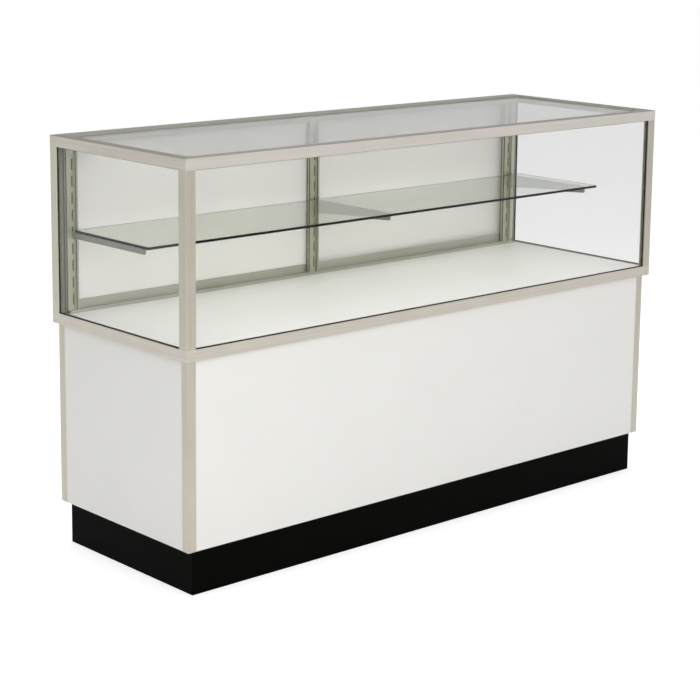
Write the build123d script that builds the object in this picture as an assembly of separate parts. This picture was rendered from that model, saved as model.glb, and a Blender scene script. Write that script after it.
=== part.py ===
from build123d import *
import os

# Glass-topped display counter: an aluminium-framed glazed case on a white laminate base with a
# recessed black kick. Millimetres. X runs along the length, the customer's side faces -Y, Z is up,
# and the origin is on the floor under the middle of the counter.

# Overall size
LENGTH = 1524.0
DEPTH = 508.0
HEIGHT = 965.0
KICK_HEIGHT = 102.0
CASE_LEVEL = 530.0

# How far the base and the kick stand back from the outline of the glazed case
BASE_INSET_FRONT = 12.0
BASE_INSET_END = 12.0
BASE_INSET_REAR = 6.0
KICK_INSET_FRONT = 22.0
KICK_INSET_END = 30.0
KICK_INSET_REAR = 20.0

# Glazing: panes in soft channels, in the grooves of the frame extrusions
GLASS = 6.0
VINYL = 0.75
VINYL_PROUD = 1.0
GLASS_BITE = 9.0

# Frame extrusion: an L section with two grooves in the end of each leg
FACE = 25.4
LEG = 16.0
LIP = 2.0
FIN = 2.0
SPARE_GROOVE = 3.0
SPARE_DEPTH = 6.0
EDGE_RADIUS = 1.0
KEY_WALL = 3.0
KEY_PORT = 9.0
KEY_GAP = 0.2
KEY_REACH = 45.0

# Double door track, used in the case and in the base
TRACK_OUTER_WALL = 3.5
TRACK_GROOVE = 9.0
TRACK_FIN = 4.0
TRACK_INNER_WALL = 2.5
SILL_GROOVE_DEPTH = 6.0
HEAD_GROOVE_DEPTH = 11.8
STORAGE_SILL_FLOOR = 2.0
STORAGE_HEAD_ROOF = 4.0

# Rear rails of the case: they also seat the slotted standards
STANDARD_SEAT = 14.0
SEAT_ABOVE_DECK = 7.0
SILL_BAND = 20.0
RAIL_WALL = 2.5

# Boards
DECK = 18.0
DECK_BELOW_RAIL = 1.4
DECK_GAP = 0.4
FLOOR_BOARD = 18.0
KICK_BOARD = 18.0
BOARD_ARRIS = 0.6
PANEL = 16.0
PANEL_SETBACK = 1.0
PANEL_TONGUE = 6.0
PANEL_TONGUE_LENGTH = 8.0
TONGUE_SETBACK = 4.2
STRETCHER_SPACING = 488.0

# Corner posts of the base
BASE_POST = 22.0
TONGUE_GAP = 0.2
TONGUE_GROOVE_DEPTH = 9.0
SCREW_PORT = 4.6
SCREW_PORT_PLACE = 16.5

# Slotted standards
STANDARD_WIDTH = 30.0
STANDARD_FROM_LEFT_END = 34.0
STANDARD_FROM_RIGHT_END = 56.5
STANDARD_OFF_CENTRE = 4.0
SLOT_OFFSET = 1.5
SLOT_WIDTH = 3.6
SLOT_HEIGHT = 26.0
SLOT_PITCH = 39.0
SLOTS_BELOW_SHELF = 4
SLOT_BAND = 16.4
SLOT_BAND_OFFSET = -2.0
SLOT_BAND_DEPTH = 3.0
SLOT_WALL = 2.0
STANDARD_WALL = 2.0
SIDE_GROOVE = 3.5
SIDE_GROOVE_DEPTH = 2.5
SIDE_GROOVE_PLACE = 1.2
FACE_GROOVE = 3.0
FACE_GROOVE_PLACE = 7.6
FACE_GROOVE_DEPTH = 4.0
WEB_FROM_SLOT = 6.0

# Glass shelf and its knife brackets
SHELF_LEVEL = 750.0
SHELF_BEHIND_FRONT = 174.0
SHELF_OFF_STANDARDS = 12.0
SHELF_OVERHANG_LEFT = 3.5
SHELF_OVERHANG_RIGHT = 31.0
SHELF_ARRIS = 0.6
BRACKET = 3.0
BRACKET_ROOT = 36.0
END_BRACKET_ROOT = 15.0
BRACKET_NOSE = 13.0
BRACKET_NOSE_RADIUS = 4.0
BRACKET_SHORT_OF_EDGE = 14.0
BRACKET_GAP = 0.2
HOOK_HEIGHT = 10.0
HOOK_DROP = 5.0
HOOK_THICKNESS = 2.5
TAB_HEIGHT = 6.5
HOOK_REST = 1.0

# Sliding doors
DOOR = 6.0
DOOR_OVERLAP = 40.0
DOOR_END_GAP = 1.2
DOOR_IN_HEAD = 5.0
GLIDE_LENGTH = 40.0
GLIDE_HEIGHT = 10.0
GLIDE_BASE = 1.8
GLIDE_WIDTH = 8.0
GLIDE_LIFT = 0.3
GLIDE_FROM_END = 90.0
DOOR_SLOT_GAP = 0.1

# Finger pulls let into the doors
PULL_HEIGHT = 76.0
PULL_WIDTH = 26.0
PULL_FLANGE = 1.2
PULL_RIM = 4.0
PULL_WALL = 0.8
PULL_WEB = 1.4
PULL_FROM_END = 75.0
PULL_GAP = 0.15

# Plunger lock on the right-hand display door
LOCK_FROM_EDGE = 20.0
LOCK_FLANGE_DIAMETER = 24.0
LOCK_FLANGE = 1.5
LOCK_BARREL = 19.0
LOCK_END_WALL = 2.5
LOCK_NUT = 24.0
PLUNGER_DIAMETER = 15.0
PLUNGER_STANDOUT = 3.3
PLUNGER_ARRIS = 0.5
PLUNGER_TRAVEL = 3.5
BOLT_DIAMETER = 8.0
BOLT_RETRACTED = 0.5
PLUG_DIAMETER = 10.4
PLUG_DEPTH = 4.5
KEYWAY_WIDTH = 1.4
KEYWAY_HEIGHT = 7.0
KEYWAY_DEPTH = 3.0
RUNNING_GAP = 0.3
FIT_GAP = 0.1
KEEPER = 4.0
KEEPER_WIDTH = 18.0
KEEPER_HEIGHT = 34.0
KEEPER_HOLE = 9.6

# Countersunk screws
SCREW_DIAMETER = 4.0
SCREW_HEAD = 8.0
SCREW_HEAD_DEPTH = 2.4
BOARD_SCREW_LENGTH = 40.0
TRACK_SCREW_LENGTH = 16.0
BOARD_SCREWS_PER_SIDE = 4
TRACK_SCREWS = 4
SCREW_END_MARGIN = 110.0
SCREW_FROM_BOARD_FACE = 5.0

# Places worked out from the sizes above
GROOVE = GLASS + 2 * VINYL
PANE_OFFSET = LIP + VINYL
HALF_LENGTH = LENGTH / 2
FRONT = -DEPTH / 2
REAR = DEPTH / 2
POST_FOOT = CASE_LEVEL + FACE
POST_HEAD = HEIGHT - FACE
DECK_LEVEL = POST_FOOT - DECK_BELOW_RAIL
TRACK_WIDTH = TRACK_OUTER_WALL + 2 * TRACK_GROOVE + TRACK_FIN + TRACK_INNER_WALL
REAR_RAIL = TRACK_WIDTH + STANDARD_SEAT
SEAT_LEVEL = DECK_LEVEL + SEAT_ABOVE_DECK
STANDARD_FACE = REAR - REAR_RAIL
BASE_FRONT = FRONT + BASE_INSET_FRONT
BASE_REAR = REAR - BASE_INSET_REAR
BASE_END = HALF_LENGTH - BASE_INSET_END
FLOOR_LEVEL = KICK_HEIGHT + FLOOR_BOARD
KICK_FRONT = FRONT + KICK_INSET_FRONT
KICK_REAR = REAR - KICK_INSET_REAR
KICK_END = HALF_LENGTH - KICK_INSET_END
STANDARD_LEFT = STANDARD_FROM_LEFT_END - HALF_LENGTH
STANDARD_CENTRE = -STANDARD_OFF_CENTRE
STANDARD_RIGHT = HALF_LENGTH - STANDARD_FROM_RIGHT_END
SHELF_FRONT = FRONT + SHELF_BEHIND_FRONT
SHELF_REAR = STANDARD_FACE - SHELF_OFF_STANDARDS
SHELF_UNDERSIDE = SHELF_LEVEL - GLASS
BRACKET_NOSE_PLACE = SHELF_FRONT + BRACKET_SHORT_OF_EDGE
SHELF_SLOT_BOTTOM = SHELF_UNDERSIDE - HOOK_HEIGHT - HOOK_DROP + HOOK_REST
FIRST_SLOT = SHELF_SLOT_BOTTOM - SLOTS_BELOW_SHELF * SLOT_PITCH
SLOT_COUNT = 1 + int((POST_HEAD - SLOT_HEIGHT - FIRST_SLOT) / SLOT_PITCH)

# How far a cutter runs past the face that it cuts through
CUT_OVER = 1.0
REACH = 80.0

# Four runs round the case, each going counter-clockwise seen from above, as
# corner, direction along the run, direction inwards, length
RUNS = {
    "front": ((-HALF_LENGTH, FRONT), (1, 0, 0), (0, 1, 0), LENGTH),
    "right": ((HALF_LENGTH, FRONT), (0, 1, 0), (-1, 0, 0), DEPTH),
    "rear": ((HALF_LENGTH, REAR), (-1, 0, 0), (0, -1, 0), LENGTH),
    "left": ((-HALF_LENGTH, REAR), (0, -1, 0), (1, 0, 0), DEPTH),
}
CORNERS = {
    "front_left": (-1, -1),
    "front_right": (1, -1),
    "rear_left": (-1, 1),
    "rear_right": (1, 1),
}


def span_box(x0, x1, y0, y1, z0, z1):
    """A block between two corners."""
    centre = Pos((x0 + x1) / 2, (y0 + y1) / 2, (z0 + z1) / 2)
    return centre * Box(abs(x1 - x0), abs(y1 - y0), abs(z1 - z0))


def span_rect(u0, u1, v0, v1):
    """A flat rectangle between two corners."""
    return Pos((u0 + u1) / 2, (v0 + v1) / 2) * Rectangle(abs(u1 - u0), abs(v1 - v0))


def corner_block(corner, z0, z1, near, far):
    """A square block at a corner of the case, from near to far in from both outer faces."""
    sx, sy = CORNERS[corner]
    x_pair = sorted((sx * (HALF_LENGTH - near), sx * (HALF_LENGTH - far)))
    y_pair = sorted((sy * (REAR - near), sy * (REAR - far)))
    return span_box(*x_pair, *y_pair, z0, z1)


def extrude_run(profile, run, level):
    """A profile drawn as (inwards, up), pushed along one run of the case."""
    (x, y), along, inwards, length = RUNS[run]
    plane = Plane(origin=(x, y, level), x_dir=inwards, z_dir=along)
    return extrude(plane * profile, amount=length)


def mitre_cuts(run, neighbour_depth, z0, z1):
    """The two prisms that mitre a run against rails of the given depth."""
    (x, y), along, inwards, length = RUNS[run]
    outline = [
        (-1, -1),
        (neighbour_depth, neighbour_depth),
        (neighbour_depth, REACH),
        (-1, REACH),
    ]
    ends = [outline, [(length - s, u) for s, u in outline]]
    plane = Plane(origin=(x, y, z0), x_dir=along, z_dir=(0, 0, 1))
    cuts = [extrude(plane * make_face(Polyline(*end, close=True)), amount=z1 - z0) for end in ends]
    return cuts


# Frame of the glazed case

def glazing_grooves(leg_end):
    """The pane groove and the spare groove in the end of a leg that points up."""
    pane = span_rect(LIP, LIP + GROOVE, leg_end - GLASS_BITE, leg_end + 1)
    spare_start = LIP + GROOVE + FIN
    spare = span_rect(spare_start, spare_start + SPARE_GROOVE, leg_end - SPARE_DEPTH, leg_end + 1)
    return pane + spare


def swap_axes(sketch):
    """The same shape with its two axes exchanged."""
    return mirror(sketch, Plane(origin=(0, 0, 0), x_dir=(0, 0, 1), z_dir=(1, -1, 0)))


def angle_section():
    """The L-shaped extrusion, outer corner at zero."""
    upright = span_rect(0, LEG, 0, FACE)
    flat = span_rect(0, FACE, 0, LEG)
    section = upright + flat
    outer = section.vertices().sort_by(lambda v: v.X + v.Y)[0]
    section = fillet(outer, EDGE_RADIUS)
    section -= glazing_grooves(FACE)
    section -= swap_axes(glazing_grooves(FACE))
    section -= span_rect(KEY_WALL, KEY_WALL + KEY_PORT, KEY_WALL, KEY_WALL + KEY_PORT)
    return section


def rear_post_section():
    """A square post: panes slot into one side, doors close against the next."""
    section = RectangleRounded(FACE, FACE, EDGE_RADIUS)
    section = Pos(FACE / 2, FACE / 2) * section
    section -= glazing_grooves(FACE)
    section -= span_rect(KEY_WALL, KEY_WALL + KEY_PORT, KEY_WALL, KEY_WALL + KEY_PORT)
    hollow_start = LIP + GROOVE + FIN + SPARE_GROOVE + FIN
    section -= span_rect(hollow_start, FACE - RAIL_WALL, KEY_WALL, FACE - RAIL_WALL)
    return section


def track_grooves(bottom, top):
    """Two door grooves, the outer one first, measured in from the rear face."""
    inner_start = TRACK_OUTER_WALL + TRACK_GROOVE + TRACK_FIN
    outer = span_rect(TRACK_OUTER_WALL, TRACK_OUTER_WALL + TRACK_GROOVE, bottom, top)
    inner = span_rect(inner_start, inner_start + TRACK_GROOVE, bottom, top)
    return outer + inner


def rear_head_section():
    """Rear top rail, drawn downwards from its top face."""
    section = span_rect(0, REAR_RAIL, 0, FACE)
    outer = section.vertices().sort_by(lambda v: v.X + v.Y)[0]
    section = fillet(outer, EDGE_RADIUS)
    section -= track_grooves(FACE - HEAD_GROOVE_DEPTH, FACE + 1)
    pane = swap_axes(glazing_grooves(REAR_RAIL))
    section -= pane
    section -= span_rect(KEY_WALL, KEY_WALL + KEY_PORT, KEY_WALL, KEY_WALL + KEY_PORT)
    hollow_start = KEY_WALL + KEY_PORT + RAIL_WALL
    hollow_end = REAR_RAIL - GLASS_BITE - RAIL_WALL
    section -= span_rect(hollow_start, hollow_end, RAIL_WALL, FACE - HEAD_GROOVE_DEPTH - RAIL_WALL)
    seat_hollow = span_rect(TRACK_WIDTH, REAR_RAIL - RAIL_WALL, LEG + FIN, FACE - RAIL_WALL)
    return section - seat_hollow


def rear_sill_section():
    """Rear bottom rail, drawn upwards from its underside."""
    seat = SEAT_LEVEL - CASE_LEVEL
    section = span_rect(0, REAR_RAIL, 0, seat)
    section += span_rect(0, TRACK_WIDTH, 0, seat + SILL_GROOVE_DEPTH)
    section += span_rect(TRACK_WIDTH - TRACK_INNER_WALL, TRACK_WIDTH, 0, seat + SILL_BAND)
    section += span_rect(0, REAR_RAIL + FACE - LEG, 0, LEG)
    section -= track_grooves(seat, seat + SILL_BAND)
    section -= span_rect(KEY_WALL, KEY_WALL + KEY_PORT, KEY_WALL, KEY_WALL + KEY_PORT)
    hollow_start = KEY_WALL + KEY_PORT + RAIL_WALL
    section -= span_rect(hollow_start, REAR_RAIL, RAIL_WALL, LEG - RAIL_WALL)
    section -= span_rect(RAIL_WALL, REAR_RAIL - RAIL_WALL, LEG, seat - RAIL_WALL)
    return section


def cut_key_passages(rail, corners, z_far, z_near):
    """Square holes that let the upright arm of a corner key into the post."""
    for corner in corners:
        rail -= corner_block(corner, z_far, z_near, KEY_WALL, KEY_WALL + KEY_PORT)
    return rail


def ends_of(run):
    """The two corners that a run joins."""
    if run in ("front", "rear"):
        return [run + "_left", run + "_right"]
    return ["front_" + run, "rear_" + run]


def bottom_rail(run):
    section = rear_sill_section() if run == "rear" else angle_section()
    rail = extrude_run(section, run, CASE_LEVEL)
    if run == "rear":
        levels = [(CASE_LEVEL - 1, CASE_LEVEL + LEG, FACE), (CASE_LEVEL + LEG, POST_FOOT, LEG)]
    else:
        levels = [(CASE_LEVEL - 1, POST_FOOT + 1, FACE)]
    for z0, z1, neighbour in levels:
        for cut in mitre_cuts(run, neighbour, z0, z1):
            rail -= cut
    if run == "rear":
        top = SEAT_LEVEL + SILL_BAND + 1
        for side in (-1, 1):
            ends = sorted((side * (HALF_LENGTH + 1), side * (HALF_LENGTH - FACE)))
            rail -= span_box(*ends, REAR - REAR_RAIL - 1, REAR + 1, POST_FOOT, top)
    return cut_key_passages(rail, ends_of(run), CASE_LEVEL + KEY_WALL + KEY_PORT, POST_FOOT)


def top_rail(run):
    section = rear_head_section() if run == "rear" else angle_section()
    rail = extrude_run(mirror(section, Plane.XZ), run, HEIGHT)
    if run == "rear":
        levels = [(HEIGHT - LEG, HEIGHT + 1, FACE), (POST_HEAD - 1, HEIGHT - LEG, LEG)]
    else:
        levels = [(POST_HEAD - 1, HEIGHT + 1, FACE)]
    for z0, z1, neighbour in levels:
        for cut in mitre_cuts(run, neighbour, z0, z1):
            rail -= cut
    return cut_key_passages(rail, ends_of(run), POST_HEAD, HEIGHT - KEY_WALL - KEY_PORT)


def case_post(corner):
    """A post of the case. Its section is drawn from the outer corner inwards."""
    sx, sy = CORNERS[corner]
    section = angle_section() if sy < 0 else rear_post_section()
    if sx > 0:
        section = mirror(section, Plane.YZ)
    if sy > 0:
        section = mirror(section, Plane.XZ)
    place = Plane(origin=(sx * HALF_LENGTH, sy * REAR, POST_FOOT))
    return extrude(place * section, amount=POST_HEAD - POST_FOOT)


def corner_key(corner, upper):
    """A three-way key: one arm in each rail of a corner and one in its post."""
    near = KEY_WALL + KEY_GAP
    far = KEY_WALL + KEY_PORT - KEY_GAP
    sx, sy = CORNERS[corner]
    level = HEIGHT if upper else CASE_LEVEL
    rise = -1 if upper else 1
    xs = [sx * (HALF_LENGTH - d) for d in (near, far, KEY_REACH)]
    ys = [sy * (REAR - d) for d in (near, far, KEY_REACH)]
    zs = [level + rise * d for d in (near, far, KEY_REACH)]
    along_x = span_box(xs[0], xs[2], ys[0], ys[1], zs[0], zs[1])
    along_y = span_box(xs[0], xs[1], ys[0], ys[2], zs[0], zs[1])
    along_z = span_box(xs[0], xs[1], ys[0], ys[1], zs[0], zs[2])
    return along_x + along_y + along_z


# Panes and their soft channels

def pane_limits():
    """Where the edges of the panes lie, as half length, front, rear, bottom and top."""
    into = FACE - GLASS_BITE + VINYL
    return {
        "x": HALF_LENGTH - into,
        "front": FRONT + into,
        "rear": REAR - into,
        "top_rear": REAR - REAR_RAIL + GLASS_BITE - VINYL,
        "low": CASE_LEVEL + into,
        "high": HEIGHT - into,
    }


def pane_box(name):
    """The two corners of a pane, as x0, x1, y0, y1, z0, z1."""
    at = pane_limits()
    near = PANE_OFFSET
    far = PANE_OFFSET + GLASS
    if name == "front":
        return (-at["x"], at["x"], FRONT + near, FRONT + far, at["low"], at["high"])
    if name == "top":
        return (-at["x"], at["x"], at["front"], at["top_rear"], HEIGHT - far, HEIGHT - near)
    side = -1 if name == "left" else 1
    x_pair = sorted((side * (HALF_LENGTH - near), side * (HALF_LENGTH - far)))
    return (*x_pair, at["front"], at["rear"], at["low"], at["high"])


def pane_vinyl(name):
    """Four soft channels round the edge of a pane, butted at its corners."""
    box = pane_box(name)
    pairs = [(box[0], box[1]), (box[2], box[3]), (box[4], box[5])]
    thin = min(range(3), key=lambda axis: pairs[axis][1] - pairs[axis][0])
    long_axis, short_axis = [axis for axis in range(3) if axis != thin]
    cover = GLASS_BITE - VINYL + VINYL_PROUD
    strips = []
    for axis, other in ((long_axis, short_axis), (short_axis, long_axis)):
        for end in (0, 1):
            outer = [list(pair) for pair in pairs]
            outer[thin] = [pairs[thin][0] - VINYL, pairs[thin][1] + VINYL]
            edge = pairs[other][end]
            outwards = 1 if end else -1
            outer[other] = sorted((edge + outwards * VINYL, edge - outwards * cover))
            trim = cover if axis == short_axis else -VINYL
            outer[axis] = [pairs[axis][0] + trim, pairs[axis][1] - trim]
            strip = span_box(*outer[0], *outer[1], *outer[2])
            strips.append(strip - span_box(*box))
    return strips


# Board work of the glazed case

def display_deck():
    """The white deck: a board whose rim is rebated to lie on the rails."""
    ledge = CASE_LEVEL + LEG
    outer = HALF_LENGTH - LEG - DECK_GAP
    inner = HALF_LENGTH - FACE - DECK_GAP
    rear = STANDARD_FACE - DECK_GAP
    rim = span_box(-outer, outer, FRONT + LEG + DECK_GAP, rear, ledge, DECK_LEVEL)
    body_rear = rear - (FACE - LEG)
    underside = DECK_LEVEL - DECK
    body = span_box(-inner, inner, FRONT + FACE + DECK_GAP, body_rear, underside, DECK_LEVEL)
    return rim + body


# Shelf standards, brackets and shelf

def standard(centre):
    """A slotted standard between the seat of the rear sill and the rear top rail."""
    back = STANDARD_SEAT
    half = STANDARD_WIDTH / 2
    section = span_rect(-half, half, 0, back)
    band = (SLOT_BAND_OFFSET - SLOT_BAND / 2, SLOT_BAND_OFFSET + SLOT_BAND / 2)
    section -= span_rect(*band, -1, SLOT_BAND_DEPTH)
    face_groove = (FACE_GROOVE_PLACE, FACE_GROOVE_PLACE + FACE_GROOVE)
    section -= span_rect(*face_groove, -1, FACE_GROOVE_DEPTH)
    hollow_front = SLOT_BAND_DEPTH + SLOT_WALL
    hollow = (STANDARD_WALL - half + SIDE_GROOVE_DEPTH, half - STANDARD_WALL - SIDE_GROOVE_DEPTH)
    section -= span_rect(*hollow, hollow_front, back - STANDARD_WALL)
    web_right = SLOT_OFFSET - WEB_FROM_SLOT
    section += span_rect(web_right - STANDARD_WALL, web_right, hollow_front, back)
    for side in (-1, 1):
        edge = sorted((side * (half + 1), side * (half - SIDE_GROOVE_DEPTH)))
        section -= span_rect(*edge, SIDE_GROOVE_PLACE, SIDE_GROOVE_PLACE + SIDE_GROOVE)
        section -= span_rect(*edge, back - SIDE_GROOVE, back + 1)
    plane = Plane(origin=(centre, STANDARD_FACE, SEAT_LEVEL))
    piece = extrude(plane * section, amount=POST_HEAD - SEAT_LEVEL)
    slot_x = centre + SLOT_OFFSET
    for index in range(SLOT_COUNT):
        bottom = FIRST_SLOT + index * SLOT_PITCH
        x_pair = (slot_x - SLOT_WIDTH / 2, slot_x + SLOT_WIDTH / 2)
        depth = (STANDARD_FACE - CUT_OVER, STANDARD_FACE + hollow_front + CUT_OVER)
        piece -= span_box(*x_pair, *depth, bottom, bottom + SLOT_HEIGHT)
    return piece


def bracket(centre, root_height):
    """A knife bracket: a blade with a hook at its root, and a tab below it where it is tall."""
    root = STANDARD_FACE + SLOT_BAND_DEPTH - BRACKET_GAP
    top = SHELF_UNDERSIDE
    nose = BRACKET_NOSE_PLACE
    blade = make_face(
        Polyline(
            (root, top),
            (nose, top),
            (nose, top - BRACKET_NOSE),
            (root, top - root_height),
            close=True,
        )
    )
    nose_low = min(blade.vertices(), key=lambda v: (round(v.X, 3), v.Y))
    blade = fillet(nose_low, BRACKET_NOSE_RADIUS)
    behind_wall = STANDARD_FACE + SLOT_BAND_DEPTH + SLOT_WALL + BRACKET_GAP
    hook_low = SHELF_SLOT_BOTTOM + BRACKET_GAP
    neck = span_rect(root, behind_wall + HOOK_THICKNESS, hook_low, hook_low + HOOK_HEIGHT)
    drop = span_rect(
        behind_wall,
        behind_wall + HOOK_THICKNESS,
        hook_low - HOOK_DROP,
        hook_low + HOOK_HEIGHT,
    )
    tab_top = SHELF_SLOT_BOTTOM - (SLOT_PITCH - SLOT_HEIGHT) - BRACKET_GAP
    tab = span_rect(root, behind_wall, tab_top - TAB_HEIGHT, tab_top)
    outline = blade + neck + drop
    if top - root_height < tab_top - TAB_HEIGHT:
        outline += tab
    slot_x = centre + SLOT_OFFSET
    plane = Plane(origin=(slot_x - BRACKET / 2, 0, 0), x_dir=(0, 1, 0), z_dir=(1, 0, 0))
    return extrude(plane * outline, amount=BRACKET)


def shelf_glass():
    left = STANDARD_LEFT + SLOT_OFFSET - SHELF_OVERHANG_LEFT
    right = STANDARD_RIGHT + SLOT_OFFSET + SHELF_OVERHANG_RIGHT
    pane = span_box(left, right, SHELF_FRONT, SHELF_REAR, SHELF_UNDERSIDE, SHELF_LEVEL)
    return chamfer(pane.edges(), SHELF_ARRIS)


# Base

def base_post_section():
    """Corner extrusion of the base, outer corner at zero, with a groove for each panel."""
    section = RectangleRounded(BASE_POST, BASE_POST, EDGE_RADIUS)
    section = Pos(BASE_POST / 2, BASE_POST / 2) * section
    groove_low = TONGUE_SETBACK - TONGUE_GAP
    groove_high = groove_low + PANEL_TONGUE + 2 * TONGUE_GAP
    groove = span_rect(groove_low, groove_high, BASE_POST - TONGUE_GROOVE_DEPTH, BASE_POST + 1)
    section -= groove
    section -= swap_axes(groove)
    section -= Pos(SCREW_PORT_PLACE, SCREW_PORT_PLACE) * Circle(SCREW_PORT / 2)
    return section


def base_corner(corner):
    sx, sy = CORNERS[corner]
    section = base_post_section()
    if sx > 0:
        section = mirror(section, Plane.YZ)
    if sy > 0:
        section = mirror(section, Plane.XZ)
    y = BASE_FRONT if sy < 0 else BASE_REAR
    place = Plane(origin=(sx * BASE_END, y, KICK_HEIGHT))
    return extrude(place * section, amount=CASE_LEVEL - KICK_HEIGHT)


def front_panel():
    face = BASE_FRONT + PANEL_SETBACK
    half = BASE_END - BASE_POST
    board = span_box(-half, half, face, face + PANEL, KICK_HEIGHT, CASE_LEVEL)
    tongue_face = BASE_FRONT + TONGUE_SETBACK
    reach = half + PANEL_TONGUE_LENGTH
    tongue = (tongue_face, tongue_face + PANEL_TONGUE)
    return board + span_box(-reach, reach, *tongue, KICK_HEIGHT, CASE_LEVEL)


def end_panel(side):
    front = BASE_FRONT + BASE_POST
    rear = BASE_REAR - BASE_POST
    face = BASE_END - PANEL_SETBACK
    x_pair = sorted((side * face, side * (face - PANEL)))
    board = span_box(*x_pair, front, rear, KICK_HEIGHT, CASE_LEVEL)
    tongue_face = BASE_END - TONGUE_SETBACK
    x_tongue = sorted((side * tongue_face, side * (tongue_face - PANEL_TONGUE)))
    y_tongue = (front - PANEL_TONGUE_LENGTH, rear + PANEL_TONGUE_LENGTH)
    return board + span_box(*x_tongue, *y_tongue, KICK_HEIGHT, CASE_LEVEL)


def cabinet_floor():
    half = BASE_END - PANEL_SETBACK - PANEL - DECK_GAP
    front = BASE_FRONT + PANEL_SETBACK + PANEL + DECK_GAP
    board = span_box(-half, half, front, BASE_REAR, KICK_HEIGHT, FLOOR_LEVEL)
    notch = BASE_POST + DECK_GAP
    for sx, sy in CORNERS.values():
        x_pair = sorted((sx * (BASE_END + 1), sx * (BASE_END - notch)))
        edge = BASE_FRONT if sy < 0 else BASE_REAR
        y_pair = sorted((edge + sy, edge - sy * notch))
        board -= span_box(*x_pair, *y_pair, KICK_HEIGHT - 1, FLOOR_LEVEL + 1)
    return board


def kick_boards():
    """The recessed kick: four boards and two cross stretchers."""
    inner_front = KICK_FRONT + KICK_BOARD
    inner_rear = KICK_REAR - KICK_BOARD
    inner_end = KICK_END - KICK_BOARD
    boards = {
        "kick_front": span_box(-KICK_END, KICK_END, KICK_FRONT, inner_front, 0, KICK_HEIGHT),
        "kick_rear": span_box(-KICK_END, KICK_END, inner_rear, KICK_REAR, 0, KICK_HEIGHT),
        "kick_left": span_box(-KICK_END, -inner_end, inner_front, inner_rear, 0, KICK_HEIGHT),
        "kick_right": span_box(inner_end, KICK_END, inner_front, inner_rear, 0, KICK_HEIGHT),
    }
    for name, outermost in (("kick_front", 0), ("kick_rear", -1)):
        upright_edges = boards[name].edges().filter_by(Axis.Z).group_by(Axis.Y)
        boards[name] = chamfer(upright_edges[outermost], BOARD_ARRIS)
    stretchers = []
    for side in (-1, 1):
        x = side * STRETCHER_SPACING / 2
        x_pair = (x - KICK_BOARD / 2, x + KICK_BOARD / 2)
        stretchers.append(span_box(*x_pair, inner_front, inner_rear, 0, KICK_HEIGHT))
    boards["kick_stretchers"] = stretchers
    return boards


def storage_track(upper):
    """A double track of the base, between its rear posts."""
    if upper:
        height = STORAGE_HEAD_ROOF + HEAD_GROOVE_DEPTH
        section = span_rect(0, TRACK_WIDTH, -height, 0)
        section -= track_grooves(-height - 1, -STORAGE_HEAD_ROOF)
        level = CASE_LEVEL
    else:
        height = STORAGE_SILL_FLOOR + SILL_GROOVE_DEPTH
        section = span_rect(0, TRACK_WIDTH, 0, height)
        section -= track_grooves(STORAGE_SILL_FLOOR, height + 1)
        level = FLOOR_LEVEL
    half = BASE_END - BASE_POST
    plane = Plane(origin=(half, BASE_REAR, level), x_dir=(0, -1, 0), z_dir=(-1, 0, 0))
    return extrude(plane * section, amount=2 * half)


# Sliding doors

def door_place(side, rear_face, jamb, sill, head):
    """Corners of a door. The left one runs in the inner groove, the right one in the outer."""
    outer_middle = rear_face - TRACK_OUTER_WALL - TRACK_GROOVE / 2
    middle = outer_middle if side > 0 else outer_middle - TRACK_GROOVE - TRACK_FIN
    x_pair = sorted((side * (jamb - DOOR_END_GAP), -side * DOOR_OVERLAP / 2))
    y_pair = (middle - DOOR / 2, middle + DOOR / 2)
    z_pair = (sill + GLIDE_LIFT + GLIDE_BASE, head + DOOR_IN_HEAD)
    return (*x_pair, *y_pair, *z_pair)


def display_door_place(side):
    return door_place(side, REAR, HALF_LENGTH - FACE, SEAT_LEVEL, POST_HEAD)


def storage_door_place(side):
    sill = FLOOR_LEVEL + STORAGE_SILL_FLOOR
    head = CASE_LEVEL - STORAGE_HEAD_ROOF - HEAD_GROOVE_DEPTH
    return door_place(side, BASE_REAR, BASE_END - BASE_POST, sill, head)


def pull_centre(place, side):
    x = place[1] - PULL_FROM_END if side > 0 else place[0] + PULL_FROM_END
    return x, (place[4] + place[5]) / 2


def stadium(width, height):
    """A round-ended upright slot shape."""
    return RectangleRounded(width, height, width / 2 - 0.01)


def door_face(x, z, y):
    """A plane on a rear-facing surface, drawn as (along, up), pushing outwards to the rear."""
    return Plane(origin=(x, y, z), x_dir=(-1, 0, 0), z_dir=(0, 1, 0))


def door(place, side):
    """A door board with the pocket for its finger pull."""
    board = span_box(*place)
    x, z = pull_centre(place, side)
    cup_width = PULL_WIDTH - 2 * PULL_RIM + 2 * PULL_GAP
    cup_height = PULL_HEIGHT - 2 * PULL_RIM + 2 * PULL_GAP
    pocket = door_face(x, z, place[2] + PULL_WEB) * stadium(cup_width, cup_height)
    return board - extrude(pocket, amount=DOOR)


def finger_pull(place, side):
    """A shallow cup with a rim that lies on the outer face of the door."""
    x, z = pull_centre(place, side)
    inner, outer = place[2], place[3]
    cup_width = PULL_WIDTH - 2 * PULL_RIM
    cup_height = PULL_HEIGHT - 2 * PULL_RIM
    rim = extrude(door_face(x, z, outer) * stadium(PULL_WIDTH, PULL_HEIGHT), amount=PULL_FLANGE)
    rim_edge = rim.faces().sort_by(Axis.Y)[-1].edges()
    rim = chamfer(rim_edge, PULL_FLANGE / 2)
    cup_start = door_face(x, z, inner + PULL_WEB)
    cup = extrude(cup_start * stadium(cup_width, cup_height), amount=DOOR - PULL_WEB)
    hollow_shape = stadium(cup_width - 2 * PULL_WALL, cup_height - 2 * PULL_WALL)
    hollow_start = door_face(x, z, inner + PULL_WEB + PULL_WALL)
    hollow = extrude(hollow_start * hollow_shape, amount=DOOR + PULL_FLANGE)
    return rim + cup - hollow


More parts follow.
